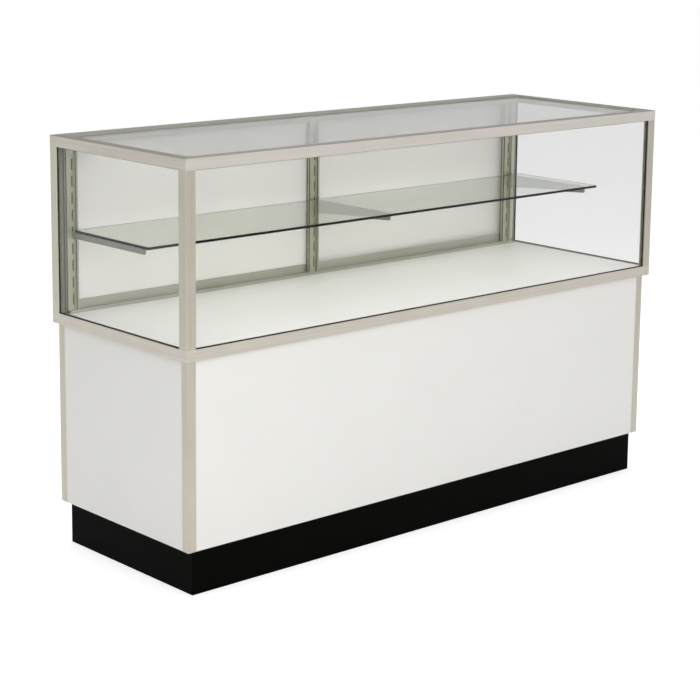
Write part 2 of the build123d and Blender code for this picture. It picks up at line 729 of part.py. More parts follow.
def door_glides(place):
    """Two nylon shoes under the bottom edge of a door."""
    x0, x1, y0, y1, bottom = place[:5]
    middle = (y0 + y1) / 2
    base = bottom - GLIDE_BASE
    shoes = []
    for x in (x0 + GLIDE_FROM_END, x1 - GLIDE_FROM_END):
        x_pair = (x - GLIDE_LENGTH / 2, x + GLIDE_LENGTH / 2)
        y_pair = (middle - GLIDE_WIDTH / 2, middle + GLIDE_WIDTH / 2)
        shoe = span_box(*x_pair, *y_pair, base, base + GLIDE_HEIGHT)
        slot = (y0 - DOOR_SLOT_GAP, y1 + DOOR_SLOT_GAP)
        shoes.append(shoe - span_box(x_pair[0] - 1, x_pair[1] + 1, *slot, bottom, base + GLIDE_HEIGHT + 1))
    return shoes


# Plunger lock of the display doors

def turned(x, z, y, diameter, length):
    """A plain round piece that points to the rear."""
    return extrude(door_face(x, z, y) * Circle(diameter / 2), amount=length)


def lock_centre():
    place = display_door_place(1)
    return place[0] + LOCK_FROM_EDGE, (place[4] + place[5]) / 2


def lock_pieces():
    """Barrel, nut, plunger with its bolt, key plug and keeper plate."""
    x, z = lock_centre()
    inner, outer = display_door_place(1)[2:4]
    face = outer + LOCK_FLANGE
    tail = inner - LOCK_END_WALL
    barrel = turned(x, z, tail, LOCK_BARREL, face - tail)
    flange = turned(x, z, outer, LOCK_FLANGE_DIAMETER, LOCK_FLANGE)
    flange = chamfer(flange.edges().group_by(Axis.Y)[-1], LOCK_FLANGE / 2)
    bore = turned(x, z, inner, PLUNGER_DIAMETER + 2 * RUNNING_GAP, face - inner)
    bolt_hole = turned(x, z, tail, BOLT_DIAMETER + 2 * RUNNING_GAP, LOCK_END_WALL)
    body = barrel + flange - bore - bolt_hole
    nut_shape = RegularPolygon(LOCK_NUT / 2, 6, major_radius=False)
    nut_shape -= Circle(LOCK_BARREL / 2 + FIT_GAP)
    nut = extrude(door_face(x, z, tail) * nut_shape, amount=LOCK_END_WALL)
    head_start = inner + RUNNING_GAP + PLUNGER_TRAVEL
    head_end = face + PLUNGER_STANDOUT
    head = turned(x, z, head_start, PLUNGER_DIAMETER, head_end - head_start)
    head = chamfer(head.edges().group_by(Axis.Y)[-1], PLUNGER_ARRIS)
    bolt_tip = tail + BOLT_RETRACTED
    bolt = turned(x, z, bolt_tip, BOLT_DIAMETER, head_start - bolt_tip)
    plug_start = head_end - PLUG_DEPTH
    socket = turned(x, z, plug_start - FIT_GAP, PLUG_DIAMETER + 2 * RUNNING_GAP, PLUG_DEPTH + 1)
    plunger = head + bolt - socket
    plug = turned(x, z, plug_start, PLUG_DIAMETER, PLUG_DEPTH - RUNNING_GAP)
    keyway_start = head_end - KEYWAY_DEPTH
    keyway = door_face(x, z, keyway_start) * Rectangle(KEYWAY_WIDTH, KEYWAY_HEIGHT)
    plug -= extrude(keyway, amount=KEYWAY_DEPTH + 1)
    keeper_face = display_door_place(-1)[3]
    keeper_shape = RectangleRounded(KEEPER_WIDTH, KEEPER_HEIGHT, EDGE_RADIUS)
    keeper_shape -= Circle(KEEPER_HOLE / 2)
    keeper = extrude(door_face(x, z, keeper_face) * keeper_shape, amount=KEEPER)
    return {
        "display_lock_body": body,
        "display_lock_nut": nut,
        "display_lock_plunger": plunger,
        "display_lock_plug": plug,
        "display_lock_keeper": keeper,
    }


def drill_for_lock(board):
    """The hole in the right-hand display door that takes the lock barrel."""
    x, z = lock_centre()
    inner, outer = display_door_place(1)[2:4]
    start = inner - CUT_OVER
    depth = outer - inner + 2 * CUT_OVER
    return board - turned(x, z, start, LOCK_BARREL + 2 * FIT_GAP, depth)


# Screws

def screw(x, y, z, length, points_down):
    """A countersunk screw whose flat head lies at the given level."""
    half_head = SCREW_HEAD / 2
    half_shank = SCREW_DIAMETER / 2
    outline = Polyline(
        (0, 0),
        (half_head, 0),
        (half_shank, -SCREW_HEAD_DEPTH),
        (half_shank, -length + SCREW_DIAMETER),
        (0, -length),
        close=True,
    )
    piece = revolve(make_face(Plane.XZ * outline), Axis.Z)
    if not points_down:
        piece = mirror(piece, Plane.XY)
    return Pos(x, y, z) * piece


def spread(count, half_span):
    """Evenly spaced places between two ends."""
    step = 2 * half_span / (count - 1)
    return [-half_span + step * index for index in range(count)]


def board_screw_places():
    """Screws through the cabinet floor into the kick."""
    xs = spread(BOARD_SCREWS_PER_SIDE, KICK_END - SCREW_END_MARGIN)
    from_outside = KICK_BOARD - SCREW_FROM_BOARD_FACE
    ys = (KICK_FRONT + from_outside, KICK_REAR - from_outside)
    return [(x, y) for x in xs for y in ys]


def track_screw_places():
    """Screws in the outer groove of each storage track."""
    xs = spread(TRACK_SCREWS, BASE_END - BASE_POST - SCREW_END_MARGIN)
    y = BASE_REAR - TRACK_OUTER_WALL - TRACK_GROOVE / 2
    return [(x, y) for x in xs]


def frame_screws():
    screws = [screw(x, y, FLOOR_LEVEL, BOARD_SCREW_LENGTH, True) for x, y in board_screw_places()]
    return screws + track_screws()


def track_screws():
    sill = FLOOR_LEVEL + STORAGE_SILL_FLOOR
    head = CASE_LEVEL - STORAGE_HEAD_ROOF
    screws = []
    for x, y in track_screw_places():
        screws.append(screw(x, y, sill, TRACK_SCREW_LENGTH, True))
        screws.append(screw(x, y, head, STORAGE_HEAD_ROOF + RAIL_WALL, False))
    return screws


def without(piece, cutters):
    """A piece with the room for its screws cut out."""
    for cutter in cutters:
        piece -= cutter
    return piece


# Assembly

def make_case_frame():
    parts = {}
    for run in RUNS:
        parts["bottom_rail_" + run] = bottom_rail(run)
        parts["top_rail_" + run] = top_rail(run)
    for corner in CORNERS:
        parts["post_" + corner] = case_post(corner)
    parts["corner_keys"] = [corner_key(corner, upper) for corner in CORNERS for upper in (False, True)]
    parts["display_deck"] = display_deck()
    return parts


def make_glazing():
    names = ("front", "left", "right", "top")
    parts = {"glass_" + name: span_box(*pane_box(name)) for name in names}
    parts["glazing_vinyl"] = [strip for name in names[:3] for strip in pane_vinyl(name)]
    parts["top_glazing_vinyl"] = pane_vinyl("top")
    return parts


def make_shelf():
    places = {
        "left": (STANDARD_LEFT, END_BRACKET_ROOT),
        "centre": (STANDARD_CENTRE, BRACKET_ROOT),
        "right": (STANDARD_RIGHT, BRACKET_ROOT),
    }
    parts = {}
    for name, (centre, root_height) in places.items():
        parts["standard_" + name] = standard(centre)
        parts["bracket_" + name] = bracket(centre, root_height)
    parts["shelf_glass"] = shelf_glass()
    return parts


def make_doors():
    parts = {}
    for case, place_of in (("display", display_door_place), ("storage", storage_door_place)):
        for name, side in (("left", -1), ("right", 1)):
            place = place_of(side)
            parts[case + "_door_" + name] = door(place, side)
            parts[case + "_pull_" + name] = finger_pull(place, side)
            parts[case + "_glides_" + name] = door_glides(place)
    parts["display_door_right"] = drill_for_lock(parts["display_door_right"])
    parts.update(lock_pieces())
    return parts


def make_base():
    parts = kick_boards()
    parts["cabinet_floor"] = cabinet_floor()
    parts["front_panel"] = front_panel()
    parts["left_panel"] = end_panel(-1)
    parts["right_panel"] = end_panel(1)
    for corner in CORNERS:
        parts["base_corner_" + corner] = base_corner(corner)
    parts["storage_track_top"] = storage_track(True)
    parts["storage_track_bottom"] = storage_track(False)
    return parts


def make_parts():
    parts = {}
    parts.update(make_base())
    parts.update(make_case_frame())
    parts.update(make_glazing())
    parts.update(make_shelf())
    parts.update(make_doors())
    screws = frame_screws()
    for name in ("kick_front", "kick_rear", "cabinet_floor", "storage_track_bottom",
                 "storage_track_top", "bottom_rail_rear"):
        parts[name] = without(parts[name], screws)
    parts["frame_screws"] = screws
    return parts


def solids_of(piece):
    if isinstance(piece, list):
        return [solid for item in piece for solid in item.solids()]
    return piece.solids()


def main():
    os.makedirs("parts", exist_ok=True)
    for name, piece in make_parts().items():
        solids = solids_of(piece)
        shape = solids[0] if len(solids) == 1 else Compound(children=solids)
        export_step(shape, os.path.join("parts", name + ".step"))


main()
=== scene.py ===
import math

import bpy
from mathutils import Matrix, Vector


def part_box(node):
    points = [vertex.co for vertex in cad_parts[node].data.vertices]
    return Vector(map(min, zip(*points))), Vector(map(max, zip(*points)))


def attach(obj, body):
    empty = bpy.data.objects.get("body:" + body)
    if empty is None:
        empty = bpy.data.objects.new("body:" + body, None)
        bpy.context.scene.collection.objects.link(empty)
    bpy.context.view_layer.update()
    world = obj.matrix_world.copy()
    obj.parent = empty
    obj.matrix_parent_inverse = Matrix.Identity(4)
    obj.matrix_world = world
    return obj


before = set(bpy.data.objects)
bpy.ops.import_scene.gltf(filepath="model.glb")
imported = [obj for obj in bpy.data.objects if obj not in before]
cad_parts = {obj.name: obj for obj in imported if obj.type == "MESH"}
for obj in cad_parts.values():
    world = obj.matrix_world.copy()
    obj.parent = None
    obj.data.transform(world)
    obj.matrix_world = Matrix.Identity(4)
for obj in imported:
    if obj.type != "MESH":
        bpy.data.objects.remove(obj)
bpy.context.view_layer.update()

MM = 0.001


# Nodes and colours

def linear(hex_code):
    """The linear colour of an sRGB hex code, with an alpha of 1."""
    channels = [int(hex_code[i : i + 2], 16) / 255 for i in (1, 3, 5)]
    bent = [c / 12.92 if c <= 0.04045 else ((c + 0.055) / 1.055) ** 2.4 for c in channels]
    return (*bent, 1.0)


def add(tree, kind, inputs=None, **settings):
    """A shader node with its settings, its values and what is linked into it."""
    made = tree.nodes.new("ShaderNode" + kind)
    for name, value in settings.items():
        setattr(made, name, value)
    for key, value in (inputs or {}).items():
        if isinstance(value, bpy.types.NodeSocket):
            tree.links.new(value, made.inputs[key])
        else:
            made.inputs[key].default_value = value
    return made


def start_finish(name, hex_code, **sockets):
    """A new material: its node tree, its shader and its object coordinates."""
    material = bpy.data.materials.new(name)
    material.use_nodes = True
    tree = material.node_tree
    shader = tree.nodes["Principled BSDF"]
    shader.inputs["Base Color"].default_value = linear(hex_code)
    for key, value in sockets.items():
        shader.inputs[key.replace("_", " ")].default_value = value
    coords = add(tree, "TexCoord").outputs["Object"]
    return material, tree, shader, coords


def speckle(tree, coords, sizes_mm, detail=2.0, roughness=0.5):
    """Noise from 0 to 1 with grains of the given size along X, Y and Z."""
    scale = [1 / (MM * size) for size in sizes_mm]
    stretched = add(tree, "Mapping", {"Vector": coords, "Scale": scale}).outputs[0]
    inputs = {"Vector": stretched, "Scale": 1.0, "Detail": detail, "Roughness": roughness}
    return add(tree, "TexNoise", inputs).outputs["Fac"]


def ramp(tree, value, low, high, to_low, to_high):
    """The value moved from one range to another and held inside it."""
    ends = {"Value": value, 1: low, 2: high, 3: to_low, 4: to_high}
    return add(tree, "MapRange", ends).outputs[0]


def mixed(tree, factor, first, second):
    """A colour between two others."""
    inputs = {0: factor, 6: first, 7: second}
    return add(tree, "Mix", inputs, data_type="RGBA").outputs[2]


def bumped(tree, shader, height, depth_mm, strength=1.0):
    """Raises the shader's surface by the height, which runs from 0 to 1."""
    inputs = {"Height": height, "Distance": depth_mm * MM, "Strength": strength}
    made = add(tree, "Bump", inputs)
    tree.links.new(made.outputs[0], shader.inputs["Normal"])


# Finishes

def anodised_aluminium(name, along, light, dark, metal=1.0):
    """Satin clear-anodised aluminium extrusion: a soft sheen with faint drawn lines along it."""
    material, tree, shader, coords = start_finish(name, light, Metallic=metal, Roughness=0.36)
    # The die lines are about 0.2 mm apart on the real bar. They are drawn 1.4 mm apart to show.
    sizes = [1.4, 1.4, 1.4]
    sizes["XYZ".index(along)] = 260.0
    lines = speckle(tree, coords, sizes, detail=3.0)
    clouds = speckle(tree, coords, (70, 70, 70))
    handled = speckle(tree, coords, (24, 24, 24), detail=4.0, roughness=0.6)
    tint = mixed(tree, ramp(tree, lines, 0.3, 0.7, 0.0, 1.0), linear(light), linear(dark))
    tint = mixed(tree, ramp(tree, clouds, 0.35, 0.65, 0.0, 0.35), tint, linear(dark))
    tree.links.new(tint, shader.inputs["Base Color"])
    sheen = add(tree, "Math", {0: lines, 1: handled}, operation="ADD").outputs[0]
    tree.links.new(ramp(tree, sheen, 0.7, 1.3, 0.3, 0.43), shader.inputs["Roughness"])
    bumped(tree, shader, lines, 0.02, 0.5)
    return material


def white_melamine(name, hex_code, shade):
    """White melamine pressed on board: matt, with a fine pebble from the press plate."""
    material, tree, shader, coords = start_finish(name, hex_code, Roughness=0.45)
    pebble = speckle(tree, coords, (0.9, 0.9, 0.9), detail=1.0)
    waves = speckle(tree, coords, (180, 180, 180), detail=3.0)
    tint = mixed(tree, ramp(tree, waves, 0.3, 0.7, 0.0, 1.0), linear(hex_code), linear(shade))
    tree.links.new(tint, shader.inputs["Base Color"])
    wiped = speckle(tree, coords, (60, 60, 25), detail=4.0, roughness=0.6)
    tree.links.new(ramp(tree, wiped, 0.3, 0.7, 0.4, 0.52), shader.inputs["Roughness"])
    bumped(tree, shader, pebble, 0.02, 0.6)
    return material


def black_laminate():
    """Black laminate on the kick boards: low sheen, with a pebble that catches dust and scuffs."""
    material, tree, shader, coords = start_finish(
        "black laminate", "#040403", Roughness=0.55, Specular_IOR_Level=0.02
    )
    pebble = speckle(tree, coords, (1.1, 1.1, 1.1), detail=1.0)
    scuffs = speckle(tree, coords, (90, 90, 9), detail=5.0, roughness=0.65)
    dusty = ramp(tree, scuffs, 0.52, 0.8, 0.0, 1.0)
    tint = mixed(tree, dusty, linear("#040403"), linear("#0A0A08"))
    tree.links.new(tint, shader.inputs["Base Color"])
    tree.links.new(ramp(tree, scuffs, 0.3, 0.75, 0.42, 0.6), shader.inputs["Roughness"])
    bumped(tree, shader, pebble, 0.03, 0.6)
    return material


def particle_board():
    """Bare particle board on hidden boards: pressed chips in browns."""
    material, tree, shader, coords = start_finish("bare particle board", "#A98A5E", Roughness=0.8)
    scale = {"Vector": coords, "Scale": 1 / (3.2 * MM), "Randomness": 1.0}
    chips = add(tree, "TexVoronoi", scale)
    chip_shade = add(tree, "SeparateColor", {0: chips.outputs["Color"]}).outputs[0]
    tint = mixed(tree, chip_shade, linear("#8A6A42"), linear("#C9AE82"))
    tree.links.new(tint, shader.inputs["Base Color"])
    tree.links.new(ramp(tree, chip_shade, 0.0, 1.0, 0.7, 0.9), shader.inputs["Roughness"])
    bumped(tree, shader, chips.outputs["Distance"], 0.12, 0.5)
    return material


def float_glass(name, hex_code, passed, absorbed, density):
    """Clear float glass: flat to a hair, greener the further light runs in it.

    The first colour is what the eye sees through, the second what lamp light keeps.
    """
    # The panes of the photo are almost free of glare, so their mirror part is toned down
    calm = {"Roughness": 0.0, "Transmission_Weight": 1.0, "Specular_Tint": linear("#262726")}
    material, tree, shader, coords = start_finish(name, hex_code, IOR=1.52, **calm)
    ripple = speckle(tree, coords, (140, 140, 140), detail=1.0)
    bumped(tree, shader, ripple, 0.012, 0.5)
    shadow = add(tree, "LightPath").outputs["Is Shadow Ray"]
    through = add(tree, "BsdfTransparent", {0: linear(passed)}).outputs[0]
    both = add(tree, "MixShader", {0: shadow, 1: shader.outputs[0], 2: through}).outputs[0]
    inside = {"Color": linear(absorbed), "Density": density}
    body = add(tree, "VolumeAbsorption", inside).outputs[0]
    output = tree.nodes["Material Output"]
    tree.links.new(both, output.inputs["Surface"])
    tree.links.new(body, output.inputs["Volume"])
    return material


def vinyl(name, hex_code, bloomed):
    """Extruded vinyl channel: dull, with a slight bloom."""
    material, tree, shader, coords = start_finish(name, hex_code, Roughness=0.6)
    bloom = speckle(tree, coords, (14, 14, 14), detail=4.0, roughness=0.6)
    dull = ramp(tree, bloom, 0.45, 0.75, 0.0, 1.0)
    tint = mixed(tree, dull, linear(hex_code), linear(bloomed))
    tree.links.new(tint, shader.inputs["Base Color"])
    tree.links.new(ramp(tree, bloom, 0.3, 0.7, 0.5, 0.7), shader.inputs["Roughness"])
    bumped(tree, shader, speckle(tree, coords, (1.0, 1.0, 1.0)), 0.02, 0.5)
    return material


def ground_edge():
    """Ground edge of thick glass: light is lost along the sheet, so it is a deep bottle green."""
    material, tree, shader, coords = start_finish(
        "ground glass edge", "#060B08", Roughness=0.35, Specular_IOR_Level=0.05
    )
    ground = speckle(tree, coords, (2.0, 2.0, 1.0), detail=3.0)
    tint = mixed(tree, ramp(tree, ground, 0.35, 0.7, 0.0, 1.0), linear("#060B08"), linear("#0E1812"))
    tree.links.new(tint, shader.inputs["Base Color"])
    tree.links.new(ramp(tree, ground, 0.3, 0.7, 0.25, 0.4), shader.inputs["Roughness"])
    bumped(tree, shader, ground, 0.01, 0.5)
    return material


def satin_steel():
    """Blanked steel with a satin nickel plate: fine cross-rolled grain."""
    material, tree, shader, coords = start_finish(
        "satin plated steel", "#8F9387", Metallic=0.8, Roughness=0.36
    )
    rolled = speckle(tree, coords, (2.0, 40.0, 1.0), detail=3.0)
    tint = mixed(tree, ramp(tree, rolled, 0.3, 0.7, 0.0, 1.0), linear("#969A8E"), linear("#7E8277"))
    tree.links.new(tint, shader.inputs["Base Color"])
    tree.links.new(ramp(tree, rolled, 0.3, 0.7, 0.26, 0.4), shader.inputs["Roughness"])
    bumped(tree, shader, rolled, 0.015, 0.5)
    return material


def cast_zinc():
    """Die-cast zinc corner keys: grey and grainy."""
    material, tree, shader, coords = start_finish(
        "die-cast zinc", "#8F9190", Metallic=1.0, Roughness=0.5
    )
    grain = speckle(tree, coords, (1.5, 1.5, 1.5), detail=3.0)
    tint = mixed(tree, ramp(tree, grain, 0.3, 0.7, 0.0, 1.0), linear("#9A9C9A"), linear("#7C7E7D"))
    tree.links.new(tint, shader.inputs["Base Color"])
    tree.links.new(ramp(tree, grain, 0.3, 0.7, 0.42, 0.6), shader.inputs["Roughness"])
    bumped(tree, shader, grain, 0.05, 0.6)
    return material


def moulded_plastic(name, hex_code, shade, gloss, grain_mm):
    """Injection-moulded plastic: even colour and a spark-eroded texture."""
    material, tree, shader, coords = start_finish(name, hex_code, Roughness=gloss)
    grain = speckle(tree, coords, (grain_mm,) * 3, detail=2.0)
    flow = speckle(tree, coords, (22, 22, 22), detail=3.0)
    tint = mixed(tree, ramp(tree, flow, 0.35, 0.65, 0.0, 1.0), linear(hex_code), linear(shade))
    tree.links.new(tint, shader.inputs["Base Color"])
    spread = ramp(tree, grain, 0.3, 0.7, gloss - 0.05, gloss + 0.08)
    tree.links.new(spread, shader.inputs["Roughness"])
    bumped(tree, shader, grain, 0.02, 0.6)
    return material


def turned_chrome(centre):
    """Bright chrome on turned brass: mirror gloss with faint rings round the lock's axis."""
    material, tree, shader, coords = start_finish(
        "bright chrome", "#C9CBCD", Metallic=1.0, Roughness=0.1
    )
    moved = {"Vector": coords, "Location": [-value for value in centre]}
    centred = add(tree, "Mapping", moved).outputs[0]
    # Tool rings are a few hundredths of a millimetre apart. They are drawn 1.6 mm apart to show.
    # The wave node draws 20 rings for each unit of its scale.
    scale = 1 / (1.6 * MM) / 20
    rings = {"Vector": centred, "Scale": scale, "Distortion": 0.4, "Detail": 1.0}
    turned = add(tree, "TexWave", rings, wave_type="RINGS", rings_direction="Y").outputs["Fac"]
    smears = speckle(tree, coords, (5, 5, 5), detail=4.0)
    tint = mixed(tree, ramp(tree, smears, 0.4, 0.7, 0.0, 1.0), linear("#CFD1D3"), linear("#B9BBBD"))
    tree.links.new(tint, shader.inputs["Base Color"])
    tree.links.new(ramp(tree, smears, 0.3, 0.7, 0.06, 0.2), shader.inputs["Roughness"])
    bumped(tree, shader, turned, 0.006, 0.4)
    return material


def zinc_plate():
    """Zinc-plated screws: pale blue-grey with a faint yellow cast."""
    material, tree, shader, coords = start_finish(
        "zinc plate", "#A8ABAD", Metallic=1.0, Roughness=0.3
    )
    cast = speckle(tree, coords, (3, 3, 3), detail=3.0)
    tint = mixed(tree, ramp(tree, cast, 0.35, 0.65, 0.0, 1.0), linear("#A8ACB0"), linear("#A9A48F"))
    tree.links.new(tint, shader.inputs["Base Color"])
    tree.links.new(ramp(tree, cast, 0.3, 0.7, 0.22, 0.42), shader.inputs["Roughness"])
    bumped(tree, shader, speckle(tree, coords, (0.6, 0.6, 0.6)), 0.015, 0.5)
    return material


lock_low, lock_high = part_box("display_lock_plug")
lock_centre = (lock_low + lock_high) / 2
frame_light, frame_dark = "#C6C1B7", "#B8B3A8"
# The posts and base corners get a darker copy of the frame finish: painted shade
shaded_post_light, shaded_post_dark = "#BDB7AC", "#B0AA9E"
along_x = anodised_aluminium("satin anodised aluminium, drawn in X", "X", frame_light, frame_dark)
along_y = anodised_aluminium("satin anodised aluminium, drawn in Y", "Y", frame_light, frame_dark)
shaded_along_z = anodised_aluminium("satin anodised aluminium, drawn in Z, with painted shade", "Z", shaded_post_light, shaded_post_dark)
# The top front rail gets a lighter copy of the frame finish: painted light on its front face
lit_top_front = anodised_aluminium("satin anodised top rail, with painted light", "X", "#D3CEC6", "#C8C3BA")
# The rear rails get a darker, greener copy of the frame finish: painted shade inside the case
shaded_rear_rail = anodised_aluminium("satin anodised rear rail, with painted shade", "X", "#BDBBAF", "#AFADA0", 0.7)
# The rear posts get a lighter, greener copy with less metal: painted light on their shaded inner
# faces
lit_rear_post = anodised_aluminium("satin anodised rear post, with painted light", "Z", "#C6C4B4", "#BAB8A7", 0.6)
# The standards get a darker, greener copy of the frame finish: painted shade at the back of the case
slotted = anodised_aluminium("satin anodised standard, with painted shade", "Z", "#BAB9A4", "#A9A892", 0.6)
panels = white_melamine("white melamine", "#E9E8E4", "#E7E6E2")
doors = white_melamine("white faced hardboard", "#EEECE7", "#EBE9E4")
kick = black_laminate()
bare_board = particle_board()
case_glass = float_glass("clear float glass", "#F0F0F0", "#FEFEFE", "#DCEBE5", 1.5)
shelf_pane = float_glass("clear float shelf glass", "#E4E7DD", "#F8FAF8", "#A9C9B4", 6.0)
channel = vinyl("black vinyl channel", "#141514", "#2A2B29")
top_channel = vinyl("grey vinyl channel", "#B4AFA5", "#9A968D")
edge = ground_edge()
# Painted shade: black strips where the grooves and slots of the standards fall in shadow
groove_shade = vinyl("black painted groove shade", "#0B0B07", "#15150F")
plated = satin_steel()
zinc_cast = cast_zinc()
grey_moulded = moulded_plastic("grey moulded plastic", "#8E8E8A", "#868682", 0.42, 0.9)
nylon = moulded_plastic("white nylon", "#DEDED6", "#D4D4CB", 0.38, 1.2)
chrome = turned_chrome(lock_centre)
screws = zinc_plate()

FINISHES = {
    "bottom_rail_front": along_x,
    "bottom_rail_rear": shaded_rear_rail,
    "bottom_rail_left": along_y,
    "bottom_rail_right": along_y,
    "top_rail_front": lit_top_front,
    "top_rail_rear": shaded_rear_rail,
    "top_rail_left": along_y,
    "top_rail_right": along_y,
    "post_front_left": shaded_along_z,
    "post_front_right": shaded_along_z,
    "post_rear_left": lit_rear_post,
    "post_rear_right": lit_rear_post,
    "base_corner_front_left": shaded_along_z,
    "base_corner_front_right": shaded_along_z,
    "base_corner_rear_left": shaded_along_z,
    "base_corner_rear_right": shaded_along_z,
    "storage_track_top": along_x,
    "storage_track_bottom": along_x,
    "standard_left": slotted,
    "standard_centre": slotted,
    "standard_right": slotted,
    "front_panel": panels,
    "left_panel": panels,
    "right_panel": panels,
    "cabinet_floor": panels,
    "display_deck": panels,
    "display_door_left": doors,
    "display_door_right": doors,
    "storage_door_left": doors,
    "storage_door_right": doors,
    "kick_front": kick,
    "kick_rear": kick,
    "kick_left": kick,
    "kick_right": kick,
    "kick_stretchers": bare_board,
    "glass_top": case_glass,
    "glass_front": case_glass,
    "glass_left": case_glass,
    "glass_right": case_glass,
    "glazing_vinyl": channel,
    "top_glazing_vinyl": top_channel,
    "shelf_glass": shelf_pane,
    "bracket_left": plated,
    "bracket_centre": plated,
    "bracket_right": plated,
    "corner_keys": zinc_cast,
    "display_pull_left": grey_moulded,
    "display_pull_right": grey_moulded,
    "storage_pull_left": grey_moulded,
    "storage_pull_right": grey_moulded,
    "display_glides_left": nylon,
    "display_glides_right": nylon,
    "storage_glides_left": nylon,
    "storage_glides_right": nylon,
    "display_lock_body": chrome,
    "display_lock_nut": chrome,
    "display_lock_plunger": chrome,
    "display_lock_plug": chrome,
    "display_lock_keeper": screws,
    "frame_screws": screws,
}
for name, finish in FINISHES.items():
    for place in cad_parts[name].material_slots:
        place.material = finish


# Ground edges of the shelf

def make_shelf_edges():
    """A band round the four ground edges of the glass shelf."""
    low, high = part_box("shelf_glass")
    thick = 0.4 * MM
    # Four loops of four corners: inner bottom, inner top, outer bottom and outer top
    loops = []
    for out in (0.0, thick):
        x0, y0, x1, y1 = low.x - out, low.y - out, high.x + out, high.y + out
        for z in (low.z, high.z):
            loops.append([(x0, y0, z), (x1, y0, z), (x1, y1, z), (x0, y1, z)])
    corners = [corner for loop in loops for corner in loop]
    faces = []
    for i in range(4):
        j = (i + 1) % 4
        faces.append((8 + i, 8 + j, 12 + j, 12 + i))
        faces.append((j, i, 4 + i, 4 + j))
        faces.append((12 + i, 12 + j, 4 + j, 4 + i))
        faces.append((i, j, 8 + j, 8 + i))
    mesh = bpy.data.meshes.new("shelf_ground_edges")
    mesh.from_pydata(corners, [], faces)
    mesh.materials.append(edge)
    band = bpy.data.objects.new("shelf_ground_edges", mesh)
    bpy.context.scene.collection.objects.link(band)
    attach(band, "shelf")


make_shelf_edges()


# Black strips of painted shade in the grooves of the slotted standards

# Middle in X and Y, width and depth of each strip in millimetres, from the middle of the front
STRIPS = (
    (-13.5, 2.95, 2.0, 3.3),
    (-13.5, 12.2, 2.0, 3.3),
    (13.5, 2.95, 2.0, 3.3),
    (13.5, 12.2, 2.0, 3.3),
    (9.1, 2.3, 2.8, 3.2),
    (3.0, 10.6, 13.0, 0.6),
)


def make_strip_tree():
    """Geometry Nodes: a box strip at each point of the mesh, as wide and deep as the point says."""
    tree = bpy.data.node_groups.new("groove strips", "GeometryNodeTree")
    for kind, name in (("Geometry", "Geometry"), ("Float", "Length"), ("Material", "Material")):
        tree.interface.new_socket(name, in_out="INPUT", socket_type="NodeSocket" + kind)
    tree.interface.new_socket("Geometry", in_out="OUTPUT", socket_type="NodeSocketGeometry")
    start = tree.nodes.new("NodeGroupInput")
    end = tree.nodes.new("NodeGroupOutput")
    cube = tree.nodes.new("GeometryNodeMeshCube")
    size = tree.nodes.new("GeometryNodeInputNamedAttribute")
    size.data_type = "FLOAT_VECTOR"
    size.inputs["Name"].default_value = "strip_size"
    stretch = tree.nodes.new("ShaderNodeCombineXYZ")
    parts = tree.nodes.new("ShaderNodeSeparateXYZ")
    place = tree.nodes.new("GeometryNodeInstanceOnPoints")
    real = tree.nodes.new("GeometryNodeRealizeInstances")
    finish = tree.nodes.new("GeometryNodeSetMaterial")
    cube.inputs["Size"].default_value = (1.0, 1.0, 1.0)
    for source, target in (
        (start.outputs["Geometry"], place.inputs["Points"]),
        (cube.outputs["Mesh"], place.inputs["Instance"]),
        (size.outputs["Attribute"], parts.inputs[0]),
        (parts.outputs["X"], stretch.inputs["X"]),
        (parts.outputs["Y"], stretch.inputs["Y"]),
        (start.outputs["Length"], stretch.inputs["Z"]),
        (stretch.outputs[0], place.inputs["Scale"]),
        (place.outputs["Instances"], real.inputs[0]),
        (real.outputs[0], finish.inputs["Geometry"]),
        (start.outputs["Material"], finish.inputs["Material"]),
        (finish.outputs[0], end.inputs[0]),
    ):
        tree.links.new(source, target)
    return tree


def make_standard_strips():
    """Black strips of painted shade in the grooves of each standard, and a dark strip of painted
    shade behind its slots.
    """
    end_gap = 0.3 * MM
    points, sizes = [], []
    for name in ("standard_left", "standard_centre", "standard_right"):
        low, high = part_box(name)
        middle = (low.x + high.x) / 2
        for x, y, width, depth in STRIPS:
            points.append((middle + x * MM, low.y + y * MM, (low.z + high.z) / 2))
            sizes.append((width * MM, depth * MM, 0.0))
    mesh = bpy.data.meshes.new("standard_strip_points")
    mesh.from_pydata(points, [], [])
    attribute = mesh.attributes.new("strip_size", "FLOAT_VECTOR", "POINT")
    for item, size in zip(attribute.data, sizes):
        item.vector = size
    carrier = bpy.data.objects.new("standard_strip_carrier", mesh)
    bpy.context.scene.collection.objects.link(carrier)
    tree = make_strip_tree()
    modifier = carrier.modifiers.new("strips", "NODES")
    modifier.node_group = tree
    inputs = [item for item in tree.interface.items_tree if item.in_out == "INPUT"]
    ids = {item.name: item.identifier for item in inputs}
    modifier[ids["Length"]] = high.z - low.z - 2 * end_gap
    modifier[ids["Material"]] = groove_shade
    view = bpy.context.evaluated_depsgraph_get()
    plain = bpy.data.meshes.new_from_object(carrier.evaluated_get(view))
    bpy.data.objects.remove(carrier)
    shade_strips = bpy.data.objects.new("standard_strips", plain)
    bpy.context.scene.collection.objects.link(shade_strips)
    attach(shade_strips, "root")


make_standard_strips()


# Studio

FLOOR_LIFT = 0.5
ROOM_LEVEL = 0.62
CEILING_LEVEL = 0.34
LAMP_AIM = (0.0, 0.0, 0.5)
# The photograph's camera: focal length in pixels of its 700-pixel frame, place and turn
FOCAL_PIXELS = 1914.8
FRAME_PIXELS = 700
SENSOR = 36.0
CAMERA_PLACE = (-3.1434, -3.4015, 1.5086)
CAMERA_YAW, CAMERA_PITCH, CAMERA_ROLL = 0.7346, -0.1813, 0.0112


def seen_directly(tree, path):
    """1 for rays that show the backdrop from the camera or through glass."""
    both = {0: path.outputs["Is Camera Ray"], 1: path.outputs["Is Transmission Ray"]}
    return add(tree, "Math", both, operation="MAXIMUM").outputs[0]


